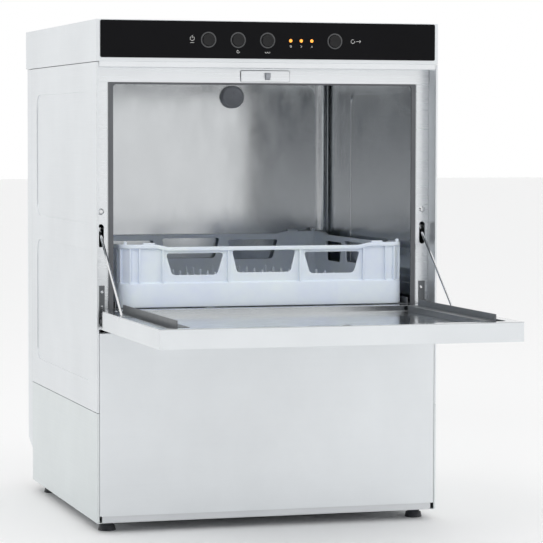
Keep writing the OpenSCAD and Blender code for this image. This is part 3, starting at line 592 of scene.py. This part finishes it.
# %% Sweep the wall
basket_low, basket_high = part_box("basket")
basket_mid = (basket_low + basket_high) / 2
half = [(basket_high.x - basket_low.x) / 2, (basket_high.y - basket_low.y) / 2]
foot_z = basket_low.z
tall = basket_high.z - foot_z
CORNER = 26 * MM
BAND = 41 * MM
SETBACK = 5 * MM
WALL = 3 * MM
RIM = 7 * MM
RIM_DROP = 4.5 * MM
RAISED_TO = 60 * MM
RAMP_END = 80 * MM
SIDE_STEPS = 24
CORNER_STEPS = 10
rim_z = tall - RIM
inner = SETBACK + WALL


def outline():
    """Points round the basket with the inward direction and the way from the corner."""
    found = []
    for quarter in range(4):
        side_x = 1 if quarter in (0, 3) else -1
        side_y = 1 if quarter in (0, 1) else -1
        middle = Vector((side_x * (half[0] - CORNER), side_y * (half[1] - CORNER), 0))
        for step in range(CORNER_STEPS + 1):
            turn = math.radians(90) * (quarter + step / CORNER_STEPS)
            out = Vector((math.cos(turn), math.sin(turn), 0))
            found.append((middle + out * CORNER, -out, 0.0))
        along = Vector((-out.y, out.x, 0))
        length = 2 * (half[0] if quarter % 2 == 0 else half[1]) - 2 * CORNER
        start = middle + out * CORNER
        for step in range(1, SIDE_STEPS):
            way = length * step / SIDE_STEPS
            found.append((start + along * way, -out, min(way, length - way) + CORNER))
    return found


def rim_sink(way):
    """How far the rim has sunk at a distance from the corner."""
    t = min(1.0, max(0.0, (way - RAISED_TO) / (RAMP_END - RAISED_TO)))
    return RIM_DROP * t * t * (3 - 2 * t)


section = [
    (1.0 * MM, 0), (0, 1.0 * MM), (0, BAND - 2.5 * MM), (0.6 * MM, BAND - 0.8 * MM), (2 * MM, BAND),
    (SETBACK, BAND + 1 * MM), (SETBACK, rim_z), (0.9 * MM, rim_z), (0, rim_z + 0.9 * MM),
    (0, tall - 1.4 * MM), (1.4 * MM, tall), (inner - 1 * MM, tall), (inner, tall - 1 * MM),
    (inner, 1.5 * MM), (inner - 1.5 * MM, 0),
]
RIM_POINTS = range(6, 13)


def swept_wall():
    form = bmesh.new()
    loops = []
    for point, inward, way in outline():
        loop = []
        for number, (depth, height) in enumerate(section):
            sink = rim_sink(way) if number in RIM_POINTS else 0
            place = basket_mid + point + inward * depth
            loop.append(form.verts.new((place.x, place.y, foot_z + height - sink)))
        loops.append(loop)
    for first, second in zip(loops, loops[1:] + loops[:1]):
        for n in range(len(section)):
            m = (n + 1) % len(section)
            form.faces.new((first[n], second[n], second[m], first[m]))
    bmesh.ops.recalc_face_normals(form, faces=form.faces)
    mesh = bpy.data.meshes.new("basket_wall")
    form.to_mesh(mesh)
    form.free()
    return mesh


wall_mesh = swept_wall()
print("wall of", len(wall_mesh.polygons), "faces")

# %% [markdown]
# ## Windows
# Hands hold the rack and water runs out through three windows in each side. They
# narrow downwards and have round corners. Cutting them is the short way: one
# cutter for each window, all gathered in one mesh. A side is laid out round its
# own middle line, with the wall's outer face a little in front of it, and a
# matrix puts it in its place.

# %% Cut the windows
WINDOW_CORNER = 6 * MM
WINDOW_SILL = 13 * MM
WINDOW_HEAD = 4 * MM
CUT_DEPTH = 40 * MM
FACE_AHEAD = 20 * MM


def window_cutter(middle, top, foot, low, high, reach):
    """A block with a tapering window's outline, from -reach to 0 along Y."""
    corners = [Vector((middle - foot, low)), Vector((middle + foot, low)),
               Vector((middle + top, high)), Vector((middle - top, high))]
    points = []
    for n, corner in enumerate(corners):
        before = (corners[n - 1] - corner).normalized() * WINDOW_CORNER
        after = (corners[(n + 1) % 4] - corner).normalized() * WINDOW_CORNER
        for step in range(7):
            t = step / 6
            points.append(corner + before * (1 - t) ** 2 + after * t ** 2)
    form = bmesh.new()
    front = [form.verts.new((p.x, -reach, p.y)) for p in points]
    back = [form.verts.new((p.x, 0, p.y)) for p in points]
    form.faces.new(front)
    form.faces.new(back[::-1])
    for n in range(len(points)):
        m = (n + 1) % len(points)
        form.faces.new((front[m], front[n], back[n], back[m]))
    bmesh.ops.recalc_face_normals(form, faces=form.faces)
    mesh = bpy.data.meshes.new("window")
    form.to_mesh(mesh)
    form.free()
    return mesh


def side_windows(width):
    """The three windows of one side, in that side's own directions."""
    sill, head = foot_z + BAND + WINDOW_SILL, foot_z + rim_z - RIM_DROP
    lower = head - WINDOW_HEAD
    shapes = [window_cutter(s * 0.242 * width, 0.1 * width, 0.078 * width, sill, lower, CUT_DEPTH)
              for s in (-1, 1)]
    shapes.append(window_cutter(0, 0.112 * width, 0.094 * width, sill + 3 * MM, head, CUT_DEPTH))
    return shapes


def side_places():
    """The matrix of each of the four sides."""
    places = []
    for quarter in range(4):
        reach = half[1] if quarter % 2 == 0 else half[0]
        turn = Matrix.Rotation(math.radians(90 * quarter), 4, "Z")
        centre = Matrix.Translation((basket_mid.x, basket_mid.y, 0))
        places.append(centre @ turn @ Matrix.Translation((0, FACE_AHEAD - reach, 0)))
    return places


cutters = []
for quarter, place in enumerate(side_places()):
    width = 2 * half[quarter % 2]
    cutters += [(shape, place) for shape in side_windows(width)]
walls = cut_away(wall_mesh, cutters)
walls_piece = add_piece("basket_wall", walls, "basket", "basket_plastic", 0.5 * MM)
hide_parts("basket")
print("wall with windows:", len(walls.polygons), "faces")

# %% [markdown]
# ## Ribs, lugs and stacking nubs
# Upright ribs stiffen the wall between the band and the rim. They stand at the
# sides of each window and close together round the corners. On the rim near each
# corner is a low lug, and a small nub at the corner keeps a rack on top from
# sliding. Every side has the same pattern, so one list is turned four times.

# %% Add the ribs
RIB_HALF = 1.3 * MM
LUG_HALF = 10 * MM
LUG_IN = 49 * MM
NUB_IN = 10 * MM


def side_ribs(width):
    """The ribs of one side, on the same matrix as its windows."""
    front = -FACE_AHEAD
    places = [s * share * width for s in (-1, 1) for share in (0.126, 0.354, 0.434)]
    return [bar((x - RIB_HALF, front + 0.5 * MM, foot_z + BAND - 0.5 * MM),
                (x + RIB_HALF, front + SETBACK + 0.5 * MM,
                 foot_z + rim_z + 1 * MM - (RIM_DROP if abs(x) < width / 2 - RAMP_END else 0)))
            for x in places]


def corner_ribs():
    """Two ribs on the round of each corner."""
    shape = bar((-RIB_HALF, 0.5 * MM - CORNER, foot_z + BAND - 0.5 * MM),
                (RIB_HALF, SETBACK + 0.5 * MM - CORNER, foot_z + rim_z + 1 * MM))
    found = []
    for quarter, (side_x, side_y) in enumerate([(1, -1), (1, 1), (-1, 1), (-1, -1)]):
        middle = Vector((basket_mid.x + side_x * (half[0] - CORNER),
                         basket_mid.y + side_y * (half[1] - CORNER), 0))
        for turn in (22, 68):
            found.append((shape, Matrix.Translation(middle)
                          @ Matrix.Rotation(math.radians(90 * quarter + turn), 4, "Z")))
    return found


def side_lugs(width):
    front = -FACE_AHEAD
    top = foot_z + tall
    return [bar((x - LUG_HALF, front + 0.8 * MM, top - 1 * MM),
                (x + LUG_HALF, front + 7 * MM, top + 2.6 * MM))
            for x in (-width / 2 + LUG_IN, width / 2 - LUG_IN)]


ribs, lugs = corner_ribs(), []
for quarter, place in enumerate(side_places()):
    width = 2 * half[quarter % 2]
    ribs += [(shape, place) for shape in side_ribs(width)]
    if quarter % 2 == 0:
        lugs += [(shape, place) for shape in side_lugs(width)]
nub = turned([(0, 5.5 * MM), (1.8 * MM, 5.2 * MM), (3 * MM, 4 * MM), (3.2 * MM, 2.5 * MM),
              (2.6 * MM, -1 * MM), (0, -1 * MM)], 20)
for side_x in (-1, 1):
    for side_y in (-1, 1):
        corner = Vector((basket_mid.x + side_x * (half[0] - NUB_IN),
                         basket_mid.y + side_y * (half[1] - NUB_IN), foot_z + tall))
        lugs.append((nub, Matrix.Translation(corner)))
add_piece("basket_ribs", gathered(ribs), "basket", "basket_plastic", 0.4 * MM)
add_piece("basket_lugs", gathered(lugs), "basket", "basket_plastic", 0.7 * MM)
print(len(ribs), "ribs and", len(lugs), "lugs and nubs")

# %% [markdown]
# ## Floor and pegs
# The floor is an open grid, so that the jets reach the glasses: deep ribs at the
# peg rows and shallower ones between them. A peg stands on each crossing of the
# deep ribs. It tapers, because a moulding has to leave its tool, and has a round
# tip.

# %% Build the grid and its pegs
EDGE = 20 * MM
ROW_PITCH = 52 * MM
PEG_TALL = 46 * MM
GRID_FOOT = 0.2 * MM


def rows(half_width):
    """Where the deep ribs run, from one edge to the other."""
    span = 2 * half_width - 2 * EDGE
    count = round(span / ROW_PITCH)
    return [-half_width + EDGE + span * n / count for n in range(count + 1)]


rows_x, rows_y = rows(half[0]), rows(half[1])
reach_x, reach_y = half[0] - inner + 1 * MM, half[1] - inner + 1 * MM
grid = []


def grid_bars(places, reach, along_x, thick, deep):
    for place in places:
        a, b = (-reach, place - thick), (reach, place + thick)
        if not along_x:
            a, b = a[::-1], b[::-1]
        low = (basket_mid.x + a[0], basket_mid.y + a[1], foot_z + GRID_FOOT)
        high = (basket_mid.x + b[0], basket_mid.y + b[1], foot_z + deep)
        grid.append((bar(low, high), Matrix.Identity(4)))


def between(places):
    return [(a + b) / 2 for a, b in zip(places, places[1:])]


grid_bars(rows_y, reach_x, True, 1.4 * MM, 8 * MM)
grid_bars(rows_x, reach_y, False, 1.4 * MM, 7.8 * MM)
grid_bars(between(rows_y), reach_x, True, 1.0 * MM, 4.6 * MM)
grid_bars(between(rows_x), reach_y, False, 1.0 * MM, 4.4 * MM)
add_piece("basket_grid", gathered(grid), "basket", "basket_plastic")
peg = turned([(4.2 * MM, 1 * MM), (4.0 * MM, 8 * MM), (2.9 * MM, 12 * MM), (2.3 * MM, PEG_TALL - 3 * MM),
              (1.6 * MM, PEG_TALL - 0.8 * MM), (0, PEG_TALL)], 14)
peg_places = [Matrix.Translation((basket_mid.x + x, basket_mid.y + y, foot_z))
              for x in rows_x[1:-1] for y in rows_y[1:-1]]
add_piece("basket_pegs", gathered([(peg, place) for place in peg_places]), "basket", "basket_plastic")
print(len(grid), "grid bars,", len(peg_places), "pegs")

# %% [markdown]
# ## Vent cap
# High on the back wall a round cap covers the chamber's vent. It is a turned
# moulding with a rolled edge and a flat face, and three small drain holes that
# are cut as the windows are.

# %% Turn the vent cap
CAP_DEEP = 14 * MM
NECK_IN = 8 * MM
HOLE_CIRCLE = 8 * MM
vent_low, vent_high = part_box("vent_cap")
vent_mid = (vent_low + vent_high) / 2
vent_radius = (vent_high.z - vent_low.z) / 2
vent_end = vent_low.y - vent_high.y
vent_mesh = turned([
    (0, -1.0 * MM), (vent_radius * 0.72, -1.0 * MM), (vent_radius * 0.78, -0.2 * MM),
    (vent_radius * 0.86, 0), (vent_radius * 0.95, -0.8 * MM), (vent_radius, -2.6 * MM),
    (vent_radius, -CAP_DEEP), (vent_radius - NECK_IN, -CAP_DEEP), (vent_radius - NECK_IN, vent_end),
    (0, vent_end),
], 64)
drill = turned([(0, 2 * MM), (1.5 * MM, 2 * MM), (1.5 * MM, -3 * MM), (0, -3 * MM)], 20)
holes = [Matrix.Translation((HOLE_CIRCLE * math.cos(t), HOLE_CIRCLE * math.sin(t), 0))
         for t in (math.radians(a) for a in (90, 210, 330))]
cap_mesh = cut_away(vent_mesh, [(drill, place) for place in holes])
cap_mesh.transform(Matrix.Translation((vent_mid.x, vent_low.y, vent_mid.z)) @ FACING_FRONT)
cap = add_piece("vent_cover", cap_mesh, "machine", "grey_plastic")
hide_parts("vent_cap")
print("vent cap", round(2 * vent_radius / MM), "mm across")

# %% [markdown]
# ## Springs of the stay rods
# A long tension spring in each side pulls its stay rod back, so that the door
# opens gently. The frame holds it as the tube that the coil fills. A coil is a
# helix, so it is a drawn line. As the door shuts, the rod slides back through
# its slot and the coil gets shorter; this mesh keeps one length. A flat lug
# behind each coil holds it to the body.

# %% Wind the springs
spring_low, spring_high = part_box("stay_springs")
WIRE = 0.8 * MM
COIL_OUTER = 7 * MM
COIL_PITCH = 5 * MM
COIL_STEPS = 14
SPRING_LUG = 50 * MM
LUG_THIN = 1.5 * MM
LUG_TALL = 8 * MM


def coil(x, front, back, z, radius):
    """A helix along Y from front to back."""
    steps = int((back - front) / COIL_PITCH) * COIL_STEPS
    turns = [math.tau * n / COIL_STEPS for n in range(steps + 1)]
    points = [(x + radius * math.cos(t), front + (back - front) * n / steps, z + radius * math.sin(t))
              for n, t in enumerate(turns)]
    return drawn_line(points, WIRE)


coil_radius = COIL_OUTER - WIRE
spring_z = (spring_low.z + spring_high.z) / 2
spring_x = spring_high.x - COIL_OUTER
coil_back = spring_high.y - SPRING_LUG
for side, name in ((-1, "left_coil"), (1, "right_coil")):
    mesh = coil(side * spring_x, spring_low.y, coil_back, spring_z, coil_radius)
    spring = add_piece(name, mesh, "machine", "chrome_wire")
    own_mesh(spring)
    if side < 0:
        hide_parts("stay_springs")
lug_parts = []
for side in (-1, 1):
    x = side * spring_x
    lug_parts.append((bar((x - LUG_THIN, coil_back - 2 * MM, spring_z - LUG_TALL),
                          (x + LUG_THIN, spring_high.y, spring_z + LUG_TALL)), Matrix.Identity(4)))
add_piece("spring_lugs", gathered(lug_parts), "machine", "chrome_wire", 0.5 * MM)
print("springs", round((coil_back - spring_low.y) / MM), "mm long")

# %% [markdown]
# ## Studio
# A pale seamless floor and a bright surround make the steel look light, because
# a metal shows what is round it. The surround is dimmer on one side, as a studio
# is where the camera stands, and reflected twice that side gives the chamber its
# dark half. A ramp on the direction makes the change from light to dim. One large
# soft light from the upper left and a weaker one from the right shape the rest.
# The standard view keeps black parts black.

# %% Floor, surround and lights
FLOOR = 30
floor_mesh = bpy.data.meshes.new("studio_floor")
corners = [(-FLOOR, -FLOOR, 0), (FLOOR, -FLOOR, 0), (FLOOR, FLOOR, 0), (-FLOOR, FLOOR, 0)]
floor_mesh.from_pydata(corners, [], [(0, 1, 2, 3)])
floor = bpy.data.objects.new("studio_floor", floor_mesh)
bpy.context.scene.collection.objects.link(floor)
paper, paper_shader = new_finish("floor_paper", (0.95, 0.95, 0.95), 0.0, 0.7)
wire(paper, spread(paper, grain(paper, (3, 3, 3)), 0.66, 0.74), paper_shader.inputs["Roughness"])
floor_mesh.materials.append(paper)

DIM_SIDE = Vector((-0.67, -0.742, 0.05))
DIM_COLOUR = (0.12, 0.125, 0.14, 1)
LIGHT_UP_TO = 0.66
DIM_FROM = 0.86
LIT_MIDDLE = Vector((0, 0, 0.4))
world = bpy.data.worlds.new("surround")
world.use_nodes = True
sky = world.node_tree.nodes["Background"]
sky.inputs["Strength"].default_value = 1.0
way = world.node_tree.nodes.new("ShaderNodeTexCoord")
toward = world.node_tree.nodes.new("ShaderNodeVectorMath")
toward.operation = "DOT_PRODUCT"
toward.inputs[1].default_value = DIM_SIDE.normalized()
fade = world.node_tree.nodes.new("ShaderNodeValToRGB")
fade.color_ramp.interpolation = "EASE"
light_end, dim_end = fade.color_ramp.elements
light_end.position = LIGHT_UP_TO
light_end.color = (1, 1, 1, 1)
dim_end.position = DIM_FROM
dim_end.color = DIM_COLOUR
wire(world, way.outputs["Generated"], toward.inputs[0])
wire(world, toward.outputs["Value"], fade.inputs["Fac"])
wire(world, fade.outputs["Color"], sky.inputs["Color"])
bpy.context.scene.world = world
bpy.context.scene.view_settings.view_transform = "Standard"


def soft_light(name, place, size, power):
    lamp = bpy.data.lights.new(name, "AREA")
    lamp.shape = "DISK"
    lamp.size = size
    lamp.energy = power
    light = bpy.data.objects.new(name, lamp)
    direction = LIT_MIDDLE - Vector(place)
    light.rotation_euler = direction.to_track_quat("-Z", "Y").to_euler()
    light.location = place
    bpy.context.scene.collection.objects.link(light)


soft_light("key_light", (-2.6, -3.4, 3.2), 2.2, 52)
soft_light("fill_light", (3.4, -2.6, 2.4), 2.6, 14)
print("studio ready")
